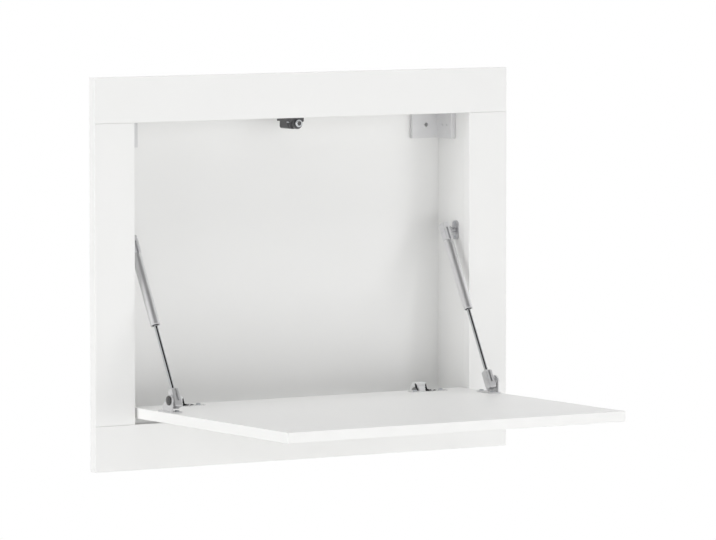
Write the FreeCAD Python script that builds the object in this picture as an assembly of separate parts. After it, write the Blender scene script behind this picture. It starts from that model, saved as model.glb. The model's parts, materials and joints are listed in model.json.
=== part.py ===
# Fold down wall desk: a frame of four boards with a shallow box (the niche) behind it, and a flap
# that fills the frame when it is shut and is the desk top when it is folded down.
#
# X points right, Y into the wall and Z up, in millimetres. Y = 0 is the wall's surface, and the desk
# hangs in front of it at negative Y. X = 0 and Z = 0 are the middle of the frame. The flap is drawn
# folded down. The fits are named clearances, and the makers draw the right-hand piece of each pair.

import FreeCAD, Part
import math
import os

V = FreeCAD.Vector
SIDES = (("left", -1), ("right", 1))

# ---- frame
frame_width = 750.0
frame_height = 600.0
frame_board_width = 70.0
board = 16.0
edging = 1.0

# ---- niche behind the frame
niche_depth = 84.0
back_board = 10.0
back_rebate = 8.0

# ---- flap
flap_side_gap = 4.0
flap_end_gap = 2.0
pivot_inset = 6.5
pivot_rise = 13.5

# ---- dowels
dowel_radius = 4.0
dowel_chamfer = 0.8
dowel_length = 35.0
dowel_edge = 18.0
dowel_end_room = 1.0
short_dowel_length = 30.0
short_dowel_in_frame = 10.0
niche_dowel_end = 76.0
upright_dowel_count = 3
level_dowel_count = 4

# ---- wood screws
niche_screw_radius = 2.5
niche_screw_length = 50.0
niche_screw_head_radius = 5.0
niche_screw_head = 3.0
niche_screw_inset = 22.0
screw_radius = 1.75
screw_head_radius = 3.5
screw_head = 2.0
screw_bite = 12.0
back_screw_end = 102.0
level_back_screw_count = 3
upright_back_screw_count = 2
recess_width = 1.0
recess_reach = 0.55  # of the head's radius
recess_depth = 0.6  # of the head's thickness
pan_rounding = 0.45  # of the head's thickness
tip_radius = 0.2  # of the shank's radius

# ---- corner hangers
hanger_width = 54.0
hanger_reach = 50.0
hanger_height = 42.0
hanger_wall = 8.0
hanger_top_gap = 0.5
hanger_round = 1.5
wall_hole_radius = 3.25
wall_hole_inset = 28.0
hanger_screw_inset = 13.0
hanger_screw_spacing = 13.0

# ---- push latch
latch_setback = 6.0
latch_plate_width = 26.0
latch_plate_length = 40.0
latch_plate = 7.0
latch_plate_setback = 1.0
latch_plate_round = 2.0
latch_radius = 9.0
latch_sink = 6.5
latch_length = 37.0
latch_end_wall = 3.0
latch_sleeve_width = 20.0
latch_sleeve_round = 4.0
latch_collar = 6.0
latch_web = 3.0
latch_screw_spread = 10.2
latch_screw_stagger = 10.0
latch_screw_radius = 1.25
latch_screw_head_radius = 2.4
latch_screw_head = 1.8
latch_screw_room = 0.5
plunger_radius = 6.0
plunger_length = 26.0
plunger_round = 2.0
plunger_travel = 3.0
magnet_radius = 3.5
magnet_thick = 2.5
spring_radius = 3.4
spring_wire_radius = 0.5
spring_turns = 8
spring_seat_depth = 12.0
spring_room = 0.5
strike_radius = 5.0
strike_thick = 1.5

# ---- flap hinges
hinge_inset = 83.0
cup_radius = 17.5
cup_wall = 0.8
cup_setback = 22.0
cup_rim_radius = 19.5
cup_rim = 1.2
wing_width = 66.0
wing_depth = 18.0
wing_offset = 6.0
wing_round = 3.0
cup_screw_spacing = 48.0
hinge_pin_radius = 1.25
hinge_pin_length = 27.0
knuckle_radius = 2.4
arm_width = 18.0
arm_bend = 2.0
arm_round = 0.8
arm_swing_gap = 1.7
arm_rim_gap = 3.3
arm_thick = 7.5
arm_leg = 4.4
arm_front = 5.5
arm_front_height = 16.0
arm_neck_width = 11.0
arm_neck_front = 3.0
arm_neck_rear = 2.0
arm_neck_rear_gap = 0.2
arm_neck_back = 6.0
arm_neck_back_height = 9.5
arm_arch_end = 16.5
arm_hollow_start = 7.0
arm_hollow_end = 15.0
arm_hollow_heel = 9.5
arm_heel = 14.0
arm_tail = 62.0
arm_tail_height = 9.5
arm_screw_radius = 2.0
arm_screw_head_radius = 3.4
arm_screw_bite = 7.5
arm_screw_places = (32.0, 52.0)
plate_thick = 2.0
plate_width = 44.0
plate_start = 26.0
plate_length = 34.0
plate_round = 4.0
plate_screw_spread = 15.0

# ---- stays
stay_inset = 20.0
stay_foot_ahead = 94.0
stay_foot_height = 18.5
stay_head_behind = 32.0
stay_head_above = 257.5
tube_radius = 7.5
tube_wall = 1.0
tube_reach = 136.0
tube_end_wall = 1.5
tube_stub_radius = 3.0
tube_stub = 8.0
rod_radius = 3.0
rod_neck_radius = 2.1
rod_in_socket = 8.0
piston_length = 5.0
piston_gap = 0.3
guide_length = 5.0
guide_lip = 1.2
guide_lip_radius = 5.2
socket_width = 13.5
socket_depth = 13.0
socket_neck = 18.0
socket_tail = 12.0
socket_round = 2.0
socket_slot_width = 3.5
socket_slot_depth = 3.4
socket_slot_end = 3.0
stay_pin_radius = 2.5
stay_pin_head_radius = 4.0
stay_pin_head = 1.0
head_washer_radius = 6.0
head_washer = 0.75
foot_cap_radius = 7.5
foot_cap = 2.4
spacer_radius = 6.5
ear_thick = 2.5
ear_gap = 2.8
ear_radius = 9.0
ear_back = 20.0
ear_back_height = 9.5
foot_width = 19.5
foot_front = 12.5
foot_back = 31.0
foot_thick = 2.0
foot_round = 3.0
foot_screw_inset = 6.5
head_plate_width = 16.0
head_plate_height = 30.0
head_plate = 2.0
head_plate_round = 6.0
head_screw_spread = 10.5
stud_radius = 4.0
stud_collar_radius = 6.0
stud_collar = 2.0

# ---- fits
part_gap = 0.3
running_clearance = 0.05
sliding_clearance = 0.08
hole_clearance = 0.05
hole_overrun = 1.0

# ---- places that follow from the sizes
front_y = -(niche_depth + board)
seat_y = -niche_depth
back_y = -back_board
opening_x = frame_width / 2 - frame_board_width
opening_z = frame_height / 2 - frame_board_width
hinge_centre = opening_x - hinge_inset
stay_centre = opening_x - stay_inset
pivot_y = front_y + pivot_inset
pivot_z = -opening_z + flap_end_gap + pivot_rise
flap_cover = board - pivot_inset  # from the pins to the flap's upper face
flap_width = 2 * (opening_x - flap_side_gap)
flap_length = 2 * (opening_z - flap_end_gap)
flap_top = pivot_z + flap_cover
flap_bottom = flap_top - board
flap_rear = pivot_y + pivot_rise
flap_front = flap_rear - flap_length
wall_hole_x = opening_x - wall_hole_inset
hanger_z = opening_z - hanger_top_gap - hanger_height / 2
latch_front = seat_y + latch_setback
latch_z = opening_z - latch_plate + latch_sink - latch_radius
bore_end = latch_front + latch_length - latch_end_wall
plunger_nose = seat_y + part_gap
spring_start = plunger_nose + plunger_length - spring_seat_depth
strike_y = pivot_y - (latch_z - pivot_z)
cup_y = flap_rear - cup_setback
cup_depth = flap_cover + knuckle_radius + part_gap + cup_wall
wing_y = cup_y - wing_offset
arm_near = math.hypot(pivot_rise, flap_cover) + arm_swing_gap
plate_y = pivot_y + plate_start
foot_y = pivot_y - stay_foot_ahead
foot_z = flap_top + stay_foot_height
head_y = pivot_y + stay_head_behind
head_z = pivot_z + stay_head_above
stay_length = math.hypot(head_y - foot_y, head_z - foot_z)
stay_lean = -math.degrees(math.asin((head_y - foot_y) / stay_length))
tube_low = stay_length - tube_reach
tube_high = stay_length - socket_neck
ear_inner = stay_centre + socket_width / 2 + ear_gap
ear_outer = ear_inner + ear_thick
foot_outer = ear_outer + foot_cap
foot_inner = foot_outer - foot_width
stud_end = stay_centre + max(tube_radius, socket_width / 2 + head_washer) + part_gap


# ---------------------------------------------------------------- helpers
def box(low, high):
    """Box between two opposite corners."""
    return Part.makeBox(high[0] - low[0], high[1] - low[1], high[2] - low[2], V(*low))


def bar(start, along, radius, length):
    """Round bar from a start point."""
    return Part.makeCylinder(radius, length, V(*start), V(*along))


def corner_arc(before, corner, after, radius):
    """Start, middle and end of the arc that rounds one corner of an outline."""
    back = (before - corner).normalize()
    on = (after - corner).normalize()
    half = back.getAngle(on) / 2
    reach = radius / math.tan(half)
    inward = (back + on).normalize() * (radius / math.sin(half) - radius)
    return corner + back * reach, corner + inward, corner + on * reach


def prism(points, radii, depth):
    """Closed outline pushed along the vector depth; a corner with a radius of 0 stays sharp."""
    corners = [V(*p) for p in points]
    count = len(corners)
    arcs = [corner_arc(corners[i - 1], corners[i], corners[(i + 1) % count], radii[i])
            for i in range(count)]
    edges = []
    for i in range(count):
        edges.append(Part.LineSegment(arcs[i - 1][2], arcs[i][0]).toShape())
        if radii[i] > 0:
            edges.append(Part.Arc(*arcs[i]).toShape())
    return Part.Face(Part.Wire(edges)).extrude(V(*depth))


def rounded_plate(low, high, z, thick, radius):
    """Level plate with rounded corners."""
    points = [(low[0], low[1], z), (high[0], low[1], z), (high[0], high[1], z), (low[0], high[1], z)]
    return prism(points, [radius] * len(points), (0, 0, thick))


def rounded_box(low, high, radius):
    """Box with every edge rounded."""
    shape = box(low, high)
    return shape.makeFillet(radius, shape.Edges)


def banded_board(low, high, faces):
    """Core and edge strips of a board; faces lists (axis, side), the longest strips first."""
    low, high = list(low), list(high)
    strips = []
    for axis, side in faces:
        strip_low, strip_high = list(low), list(high)
        if side < 0:
            low[axis] += edging
            strip_high[axis] = low[axis]
        else:
            high[axis] -= edging
            strip_low[axis] = high[axis]
        strips.append(box(strip_low, strip_high))
    return box(low, high), strips


def spread(reach, count):
    """Evenly spaced places from -reach to +reach."""
    return [reach * (2 * i / (count - 1) - 1) for i in range(count)]


def aimed(shape, at, along):
    """Shape drawn along +Z from the origin, moved to a point and turned along a direction."""
    placed = shape.copy()
    placed.Placement = FreeCAD.Placement(V(*at), FreeCAD.Rotation(V(0, 0, 1), V(*along)))
    return placed


def mirrored(shape):
    """Shape for the other side of the desk."""
    return shape.mirror(V(0, 0, 0), V(1, 0, 0))


def sided(shape, side):
    """Right-hand shape as it is, or its mirror image for the left."""
    return shape if side > 0 else mirrored(shape)


def inward(place):
    """Direction along X from a place towards the middle of the desk."""
    return (-math.copysign(1, place[0]), 0, 0)


nodes = {}


def add(name, shapes, holes=()):
    """Cut the holes from the shapes and keep their solids as one node."""
    solids = []
    for shape in shapes:
        result = shape.cut(list(holes)) if holes else shape
        solids.extend(result.Solids)
    nodes[name] = solids[0] if len(solids) == 1 else Part.makeCompound(solids)


# ---------------------------------------------------------------- screws and dowels
def cross_recess(head_radius, head):
    """Cross slot in a screw head, from the origin along +Z."""
    arm = head_radius * recess_reach
    half = recess_width / 2
    one = box((-arm, -half, 0), (arm, half, head * recess_depth))
    two = box((-half, -arm, 0), (half, arm, head * recess_depth))
    return one.fuse(two)


def shank(radius, start, end):
    """Shank along +Z with a short point at its end."""
    body = Part.makeCylinder(radius, end - radius - start, V(0, 0, start))
    tip = Part.makeCone(radius, radius * tip_radius, radius, V(0, 0, end - radius))
    return body.fuse(tip)


def flat_screw(at, along, length, radius=screw_radius, head_radius=screw_head_radius, head=screw_head):
    """Countersunk screw with the top of its head at a point."""
    shape = Part.makeCone(head_radius, radius, head).fuse(shank(radius, head, length))
    return aimed(shape.cut(cross_recess(head_radius, head)), at, along)


def flat_hole(at, along, length, radius=screw_radius, head_radius=screw_head_radius, head=screw_head):
    """Room for a countersunk screw."""
    cone = Part.makeCone(head_radius + hole_clearance, radius + hole_clearance, head)
    way = Part.makeCylinder(radius + hole_clearance, length + hole_overrun - head, V(0, 0, head))
    return aimed(cone.fuse(way), at, along)


def pan_screw(seat, along, length, radius=screw_radius, head_radius=screw_head_radius, head=screw_head):
    """Pan head screw whose head sits on a seat point; length is what lies past the seat."""
    cap = Part.makeCylinder(head_radius, head, V(0, 0, -head))
    cap = cap.makeFillet(head * pan_rounding, [e for e in cap.Edges if e.BoundBox.ZMax < -head / 2])
    recess = cross_recess(head_radius, head)
    recess.translate(V(0, 0, -head))
    return aimed(cap.fuse(shank(radius, 0, length)).cut(recess), seat, along)


def pan_hole(seat, along, length, radius=screw_radius):
    """Room for a pan head screw's shank."""
    return aimed(Part.makeCylinder(radius + hole_clearance, length + hole_overrun), seat, along)


def dowel(start, along, length):
    """Wooden dowel with chamfered ends."""
    shape = Part.makeCylinder(dowel_radius, length)
    ends = [e for e in shape.Edges if e.BoundBox.ZLength < length / 2]
    return aimed(shape.makeChamfer(dowel_chamfer, ends), start, along)


def dowel_hole(start, along, length):
    """Hole for a dowel, a little longer at both ends."""
    shape = Part.makeCylinder(dowel_radius + hole_clearance, length + 2 * dowel_end_room,
                              V(0, 0, -dowel_end_room))
    return aimed(shape, start, along)


def frame_dowel_places():
    """Start points of the upright dowels between rails and stiles."""
    across = (opening_x + dowel_edge, frame_width / 2 - dowel_edge)
    return [(sx * x, front_y + board / 2, sz * opening_z - dowel_length / 2)
            for sx in (-1, 1) for x in across for sz in (-1, 1)]


def niche_dowel_places():
    """Start points, in the frame, of the dowels from the frame into the niche's front edges."""
    y = seat_y - short_dowel_in_frame
    x = opening_x + board / 2
    z = opening_z + board / 2
    upright = [(sx * x, y, w) for sx in (-1, 1)
               for w in spread(opening_z - niche_dowel_end, upright_dowel_count)]
    level = [(u, y, sz * z) for sz in (-1, 1)
             for u in spread(opening_x - niche_dowel_end, level_dowel_count)]
    return upright + level


def niche_screw_places():
    """Head points of the screws that hold the niche's corners together."""
    x = opening_x + board
    z = opening_z + board / 2
    depths = (seat_y + niche_screw_inset, -niche_screw_inset)
    return [(sx * x, y, sz * z) for sx in (-1, 1) for sz in (-1, 1) for y in depths]


def back_screw_places():
    """Head points of the screws that hold the back in its rebate."""
    x = opening_x + back_rebate / 2
    z = opening_z + back_rebate / 2
    level = [(u, 0, sz * z) for sz in (-1, 1)
             for u in spread(opening_x - back_screw_end, level_back_screw_count)]
    upright = [(sx * x, 0, w) for sx in (-1, 1)
               for w in spread(opening_z - back_screw_end, upright_back_screw_count)]
    return level + upright


def hanger_screw_places():
    """Head points of the right hanger's screws, on the inside of its side leg."""
    x = opening_x - hanger_wall
    y = back_y - hanger_reach + hanger_screw_inset
    return [(x, y, hanger_z), (x, y + hanger_screw_spacing, hanger_z)]


def latch_screw_places():
    """Seats of the latch's screws under its plate, one each side of the barrel."""
    y = latch_front + latch_plate_setback + latch_plate_length / 2
    return [(s * latch_screw_spread, y + s * latch_screw_stagger, opening_z - latch_plate)
            for s in (-1, 1)]


def cup_screw_places(centre):
    """Seats of a hinge cup's screws on its wings."""
    return [(centre + s * cup_screw_spacing / 2, wing_y, flap_top + cup_rim) for s in (-1, 1)]


def arm_screw_seats(centre):
    """Seats of the two screws on a hinge arm's tail."""
    z = -opening_z + plate_thick + arm_tail_height
    return [(centre, pivot_y + u, z) for u in arm_screw_places]


def plate_screw_places(centre):
    """Head points of a hinge plate's screws on the niche's floor."""
    y = plate_y + plate_length / 2
    return [(centre + s * plate_screw_spread, y, -opening_z + plate_thick) for s in (-1, 1)]


def foot_screw_places():
    """Seats of the right foot bracket's screws."""
    x = foot_inner + foot_screw_inset
    z = flap_top + foot_thick
    return [(x, foot_y + foot_back - foot_screw_inset, z), (x, foot_y - foot_front + foot_screw_inset, z)]


def head_screw_places():
    """Head points of the right stay's wall bracket screws."""
    return [(opening_x - head_plate, head_y, head_z + s * head_screw_spread) for s in (-1, 1)]


def wall_holes():
    """The two holes for the screws that go through hangers and back into the wall."""
    start = back_y - hanger_wall - hole_overrun
    return [bar((side * wall_hole_x, start, hanger_z), (0, 1, 0), wall_hole_radius, hole_overrun - start)
            for _, side in SIDES]


# ---------------------------------------------------------------- frame
def make_frame():
    """Two rails, two stiles, their edge strips and the dowels between them."""
    holes = [dowel_hole(p, (0, 0, 1), dowel_length) for p in frame_dowel_places()]
    holes += [dowel_hole(p, (0, 1, 0), short_dowel_length) for p in niche_dowel_places()]
    half_x, half_z = frame_width / 2, frame_height / 2
    strips = []
    for name, sz in (("bottom", -1), ("top", 1)):
        z = sorted((sz * half_z, sz * opening_z))
        core, bands = banded_board((-half_x, front_y, z[0]), (half_x, seat_y, z[1]),
                                   ((2, 1), (2, -1), (0, -1), (0, 1)))
        add(name + "_rail", [core], holes)
        strips += bands
    for name, sx in SIDES:
        x = sorted((sx * half_x, sx * opening_x))
        core, bands = banded_board((x[0], front_y, -opening_z), (x[1], seat_y, opening_z),
                                   ((0, -1), (0, 1)))
        add(name + "_stile", [core], holes)
        strips += bands
    add("frame_edging", strips, holes)
    add("frame_dowels", [dowel(p, (0, 0, 1), dowel_length) for p in frame_dowel_places()])


# ---------------------------------------------------------------- niche
def make_niche():
    """Two sides, top, bottom and back, with their dowels and screws."""
    corner_screw = (niche_screw_length, niche_screw_radius, niche_screw_head_radius, niche_screw_head)
    out_x = opening_x + board
    out_z = opening_z + board
    rebate = box((-opening_x - back_rebate, back_y, -opening_z - back_rebate),
                 (opening_x + back_rebate, 0, opening_z + back_rebate))
    back_holes = [flat_hole(p, (0, -1, 0), back_board + screw_bite) for p in back_screw_places()]
    holes = [rebate] + back_holes
    holes += [dowel_hole(p, (0, 1, 0), short_dowel_length) for p in niche_dowel_places()]
    holes += [flat_hole(p, inward(p), *corner_screw) for p in niche_screw_places()]
    for name, side in SIDES:
        x = sorted((side * opening_x, side * out_x))
        shape = box((x[0], seat_y, -out_z), (x[1], 0, out_z))
        own = [flat_hole(p, (1, 0, 0), hanger_wall + screw_bite) for p in hanger_screw_places()]
        own += [flat_hole(p, (1, 0, 0), head_plate + screw_bite) for p in head_screw_places()]
        add(name + "_side", [shape], holes + [sided(hole, side) for hole in own])
    top = box((-opening_x, seat_y, opening_z), (opening_x, 0, out_z))
    own = [pan_hole(p, (0, 0, 1), latch_plate + screw_bite, latch_screw_radius)
           for p in latch_screw_places()]
    add("niche_top", [top], holes + own)
    bottom = box((-opening_x, seat_y, -out_z), (opening_x, 0, -opening_z))
    own = [flat_hole(p, (0, 0, -1), plate_thick + screw_bite)
           for _, side in SIDES for p in plate_screw_places(side * hinge_centre)]
    add("niche_bottom", [bottom], holes + own)
    add("niche_back", [rebate], back_holes + wall_holes())
    add("niche_dowels", [dowel(p, (0, 1, 0), short_dowel_length) for p in niche_dowel_places()])
    add("niche_screws", [flat_screw(p, inward(p), *corner_screw) for p in niche_screw_places()])
    add("back_screws", [flat_screw(p, (0, -1, 0), back_board + screw_bite)
                        for p in back_screw_places()])


# ---------------------------------------------------------------- corner hangers
def make_hangers():
    """Angle fittings in the niche's top corners, which carry the desk on the wall."""
    bottom = hanger_z - hanger_height / 2
    tip_x, inner_x = opening_x - hanger_width, opening_x - hanger_wall
    tip_y, inner_y = back_y - hanger_reach, back_y - hanger_wall
    outline = [(opening_x, back_y, bottom), (tip_x, back_y, bottom), (tip_x, inner_y, bottom),
               (inner_x, inner_y, bottom), (inner_x, tip_y, bottom), (opening_x, tip_y, bottom)]
    radii = [0] + [hanger_round] * (len(outline) - 1)
    shape = prism(outline, radii, (0, 0, hanger_height))
    screw_length = hanger_wall + screw_bite
    seats = [flat_hole(p, (1, 0, 0), screw_length) for p in hanger_screw_places()]
    screws = [flat_screw(p, (1, 0, 0), screw_length) for p in hanger_screw_places()]
    for name, side in SIDES:
        add(name + "_hanger", [sided(shape.cut(seats), side)], wall_holes())
    add("hanger_screws", [sided(screw, side) for _, side in SIDES for screw in screws])


# ---------------------------------------------------------------- push latch
def make_latch():
    """Housing under the niche's top, and a sprung plunger with a magnet in its nose."""
    add("latch_housing", [latch_housing()])
    add("latch_screws", [pan_screw(p, (0, 0, 1), latch_plate + screw_bite, latch_screw_radius,
                                   latch_screw_head_radius, latch_screw_head)
                         for p in latch_screw_places()])
    plunger = bar((0, plunger_nose, latch_z), (0, 1, 0), plunger_radius, plunger_length)
    nose_edges = [e for e in plunger.Edges if e.BoundBox.YMax < plunger_nose + plunger_round]
    plunger = plunger.makeFillet(plunger_round, nose_edges)
    magnet = bar((0, plunger_nose, latch_z), (0, 1, 0), magnet_radius, magnet_thick)
    seat = bar((0, spring_start, latch_z), (0, 1, 0), spring_radius + spring_wire_radius + spring_room,
               spring_seat_depth)
    add("latch_plunger", [plunger], [magnet, seat])
    add("latch_magnet", [magnet])
    add("latch_spring", [latch_spring()])


def latch_housing():
    """Mounting plate, round barrel, square sleeve behind the barrel's collar and a web at the collar."""
    half, sleeve_half = latch_plate_width / 2, latch_sleeve_width / 2
    low, under, bottom = latch_front + latch_plate_setback, opening_z - latch_plate, latch_z - latch_radius
    plate = rounded_plate((-half, low), (half, low + latch_plate_length), under, latch_plate,
                          latch_plate_round)
    barrel = bar((0, latch_front, latch_z), (0, 1, 0), latch_radius, latch_length)
    sleeve_start = latch_front + latch_collar
    sleeve = prism([(x, sleeve_start, z) for x, z in ((-sleeve_half, under), (-sleeve_half, bottom),
                                                      (sleeve_half, bottom), (sleeve_half, under))],
                   [0, latch_sleeve_round, latch_sleeve_round, 0], (0, latch_length - latch_collar, 0))
    web_start = low + latch_plate_round
    web = prism([(x, web_start, z) for x, z in ((-half, under), (-latch_radius, latch_z),
                                                (latch_radius, latch_z), (half, under))],
                [0, 0, 0, 0], (0, latch_web, 0))
    bore = bar((0, latch_front, latch_z), (0, 1, 0), plunger_radius + sliding_clearance,
               bore_end - latch_front)
    seats = [pan_hole(p, (0, 0, 1), latch_plate, latch_screw_radius) for p in latch_screw_places()]
    pockets = [bar(p, (0, 0, -1), latch_screw_head_radius + latch_screw_room,
                   under - bottom + hole_overrun) for p in latch_screw_places()]
    return plate.fuse([barrel, sleeve, web]).cut([bore] + seats + pockets).removeSplitter()


def latch_spring():
    """Spring between the plunger and the bore's end, with room for the plunger's travel."""
    length = bore_end - spring_start - plunger_travel - spring_room
    pitch = (length - 2 * spring_wire_radius) / spring_turns
    helix = Part.makeHelix(pitch, pitch * spring_turns, spring_radius)
    ring = Part.Wire(Part.makeCircle(spring_wire_radius, V(spring_radius, 0, 0), V(0, 1, 0)))
    coil = Part.Wire(helix).makePipeShell([ring], True, True)
    return aimed(coil, (0, spring_start + spring_wire_radius, latch_z), (0, 1, 0))


# ---------------------------------------------------------------- flap
def make_flap():
    """Flap board, its edge strips and the disc that meets the latch when the flap is shut."""
    half = flap_width / 2
    core, strips = banded_board((-half, flap_front, flap_bottom), (half, flap_rear, flap_top),
                                ((1, -1), (1, 1), (0, -1), (0, 1)))
    strike = (0, strike_y, flap_top - strike_thick)
    holes = [bar(strike, (0, 0, 1), strike_radius + hole_clearance, strike_thick)]
    for _, side in SIDES:
        centre = side * hinge_centre
        holes.append(bar((centre, cup_y, flap_top - cup_depth), (0, 0, 1), cup_radius + hole_clearance,
                         cup_depth))
        holes += [pan_hole(p, (0, 0, -1), cup_rim + screw_bite) for p in cup_screw_places(centre)]
        holes += [sided(pan_hole(p, (0, 0, -1), foot_thick + screw_bite), side)
                  for p in foot_screw_places()]
    add("flap_board", [core], holes)
    add("flap_edging", strips)
    add("strike_disc", [bar(strike, (0, 0, 1), strike_radius, strike_thick)])


# ---------------------------------------------------------------- flap hinges
def hinge_cup(centre):
    """Cup with its wings, sunk in the flap, and the two lugs that hold the pin."""
    floor = flap_top - cup_depth
    body = bar((centre, cup_y, floor), (0, 0, 1), cup_radius, cup_depth)
    rim = bar((centre, cup_y, flap_top), (0, 0, 1), cup_rim_radius, cup_rim)
    low = (centre - wing_width / 2, wing_y - wing_depth / 2)
    high = (centre + wing_width / 2, wing_y + wing_depth / 2)
    wings = rounded_plate(low, high, flap_top, cup_rim, wing_round)
    hollow = bar((centre, cup_y, floor + cup_wall), (0, 0, 1), cup_radius - cup_wall,
                 cup_depth + cup_rim)
    lug_limit = bar((centre, cup_y, floor), (0, 0, 1), cup_radius - cup_wall / 2, cup_depth)
    lugs = []
    for s in (-1, 1):
        x = sorted((centre + s * (arm_neck_width / 2 + part_gap), centre + s * cup_radius))
        lug = box((x[0], pivot_y - knuckle_radius, floor + cup_wall / 2),
                  (x[1], pivot_y + knuckle_radius, pivot_z + knuckle_radius))
        lugs.append(lug.common(lug_limit))
    shape = body.fuse([rim, wings]).cut(hollow).fuse(lugs)
    holes = [pan_hole(p, (0, 0, -1), cup_rim) for p in cup_screw_places(centre)]
    holes.append(hinge_pin(centre))
    return shape.cut(holes).removeSplitter()


def hinge_pin(centre):
    """Pin that the flap turns on."""
    return bar((centre - hinge_pin_length / 2, pivot_y, pivot_z), (1, 0, 0), hinge_pin_radius,
               hinge_pin_length)


def hinge_arm(centre):
    """Cranked arm: a narrow neck on the pin, a bow over the flap's rear edge and a tail on its plate."""
    under = flap_cover + cup_rim + arm_rim_gap
    over = under + arm_thick
    far = arm_near + arm_leg
    tail_low = -opening_z + plate_thick - pivot_z
    tail_top = tail_low + arm_tail_height
    front = -knuckle_radius
    rear = knuckle_radius + arm_neck_rear_gap
    outline = [(front, 0, 0), (front, arm_neck_front, arm_bend), (arm_front, arm_front_height, arm_round),
               (arm_front, over, arm_bend), (arm_arch_end, over, arm_bend), (far, arm_heel, arm_bend),
               (far, tail_top, arm_round),
               (arm_tail, tail_top, arm_round), (arm_tail, tail_low, arm_round),
               (arm_near, tail_low, arm_round), (arm_near, arm_hollow_heel, arm_bend),
               (arm_hollow_end, under, arm_bend), (arm_hollow_start, under, arm_round),
               (arm_neck_back, arm_neck_back_height, arm_round), (rear, arm_neck_rear, arm_round),
               (rear, 0, 0)]
    x = centre - arm_width / 2
    points = [(x, pivot_y + u, pivot_z + w) for u, w, _ in outline]
    arm = prism(points, [radius for _, _, radius in outline], (arm_width, 0, 0))
    knuckle = bar((x, pivot_y, pivot_z), (1, 0, 0), knuckle_radius, arm_width)
    bore = bar((x, pivot_y, pivot_z), (1, 0, 0), hinge_pin_radius + running_clearance, arm_width)
    low, high = pivot_z - knuckle_radius - hole_overrun, pivot_z + under
    beside = [box((x0, pivot_y - knuckle_radius - hole_overrun, low),
                  (x0 + (arm_width - arm_neck_width) / 2, pivot_y + arm_hollow_start, high))
              for x0 in (x, centre + arm_neck_width / 2)]
    holes = [pan_hole(p, (0, 0, -1), arm_screw_bite, arm_screw_radius) for p in arm_screw_seats(centre)]
    return arm.fuse(knuckle).cut([bore] + beside + holes).removeSplitter()


def make_hinges():
    """Cups and pins on the flap; arms, plates and screws on the niche's floor."""
    cup_screws, arm_screws, plate_screws = [], [], []
    for name, side in SIDES:
        centre = side * hinge_centre
        add(name + "_hinge_cup", [hinge_cup(centre)])
        add(name + "_hinge_pin", [hinge_pin(centre)])
        add(name + "_hinge_arm", [hinge_arm(centre)])
        plate = rounded_plate((centre - plate_width / 2, plate_y),
                              (centre + plate_width / 2, plate_y + plate_length), -opening_z,
                              plate_thick, plate_round)
        places = plate_screw_places(centre)
        add(name + "_hinge_plate", [plate], [flat_hole(p, (0, 0, -1), plate_thick) for p in places])
        plate_screws += [flat_screw(p, (0, 0, -1), plate_thick + screw_bite) for p in places]
        cup_screws += [pan_screw(p, (0, 0, -1), cup_rim + screw_bite) for p in cup_screw_places(centre)]
        arm_screws += [pan_screw(p, (0, 0, -1), arm_screw_bite, arm_screw_radius, arm_screw_head_radius)
                       for p in arm_screw_seats(centre)]
    add("hinge_cup_screws", cup_screws)
    add("hinge_arm_screws", arm_screws)
    add("hinge_plate_screws", plate_screws)


# ---------------------------------------------------------------- stays
# The pieces on a stay's line are drawn along +Z, from the foot pivot at the origin.
def on_stay(shape):
    """Shape leant onto the right stay's line, with the origin at the foot pivot."""
    placed = shape.copy()
    placed.Placement = FreeCAD.Placement(V(stay_centre, foot_y, foot_z),
                                         FreeCAD.Rotation(V(1, 0, 0), stay_lean))
    return placed


def line_bar(low, high, radius):
    """Round bar on the stay's line, between two heights."""
    return Part.makeCylinder(radius, high - low, V(0, 0, low))


def cross_bar(height, start, end, radius):
    """Round bar across the stay's line, from one X to another."""
    return Part.makeCylinder(radius, end - start, V(start, 0, height), V(1, 0, 0))


def socket(pivot, toward):
    """Block at a stay's end: the pivot's height on the stay's line, and the way the stay leaves it."""
    ends = sorted((pivot - toward * socket_tail, pivot + toward * socket_neck))
    half_x, half_y = socket_width / 2, socket_depth / 2
    block = rounded_box((-half_x, -half_y, ends[0]), (half_x, half_y, ends[1]), socket_round)
    slot = sorted((pivot - toward * socket_slot_end, pivot + toward * (socket_neck + hole_overrun)))
    groove = box((-socket_slot_width / 2, -half_y - hole_overrun, slot[0]),
                 (socket_slot_width / 2, -half_y + socket_slot_depth, slot[1]))
    return block.cut(groove)


def make_stay_rods():
    """Lower sockets, rods and pistons: the part of each stay that swings on the flap."""
    half = socket_width / 2
    piston_low = tube_low + guide_length + piston_gap
    piston_high = piston_low + piston_length
    rod_low = socket_neck - rod_in_socket
    pin_hole = cross_bar(0, -half, half, stay_pin_radius + running_clearance)
    rod_hole = line_bar(rod_low, socket_neck, rod_radius + hole_clearance)
    neck = line_bar(piston_low, piston_high, rod_neck_radius)
    pieces = {"_rod_socket": socket(0, 1).cut([pin_hole, rod_hole]),
              "_stay_rod": line_bar(rod_low, piston_low, rod_radius).fuse(neck),
              "_piston": line_bar(piston_low, piston_high,
                                  tube_radius - tube_wall - sliding_clearance).cut(neck)}
    for name, side in SIDES:
        for piece, shape in pieces.items():
            add(name + piece, [sided(on_stay(shape), side)])


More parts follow.
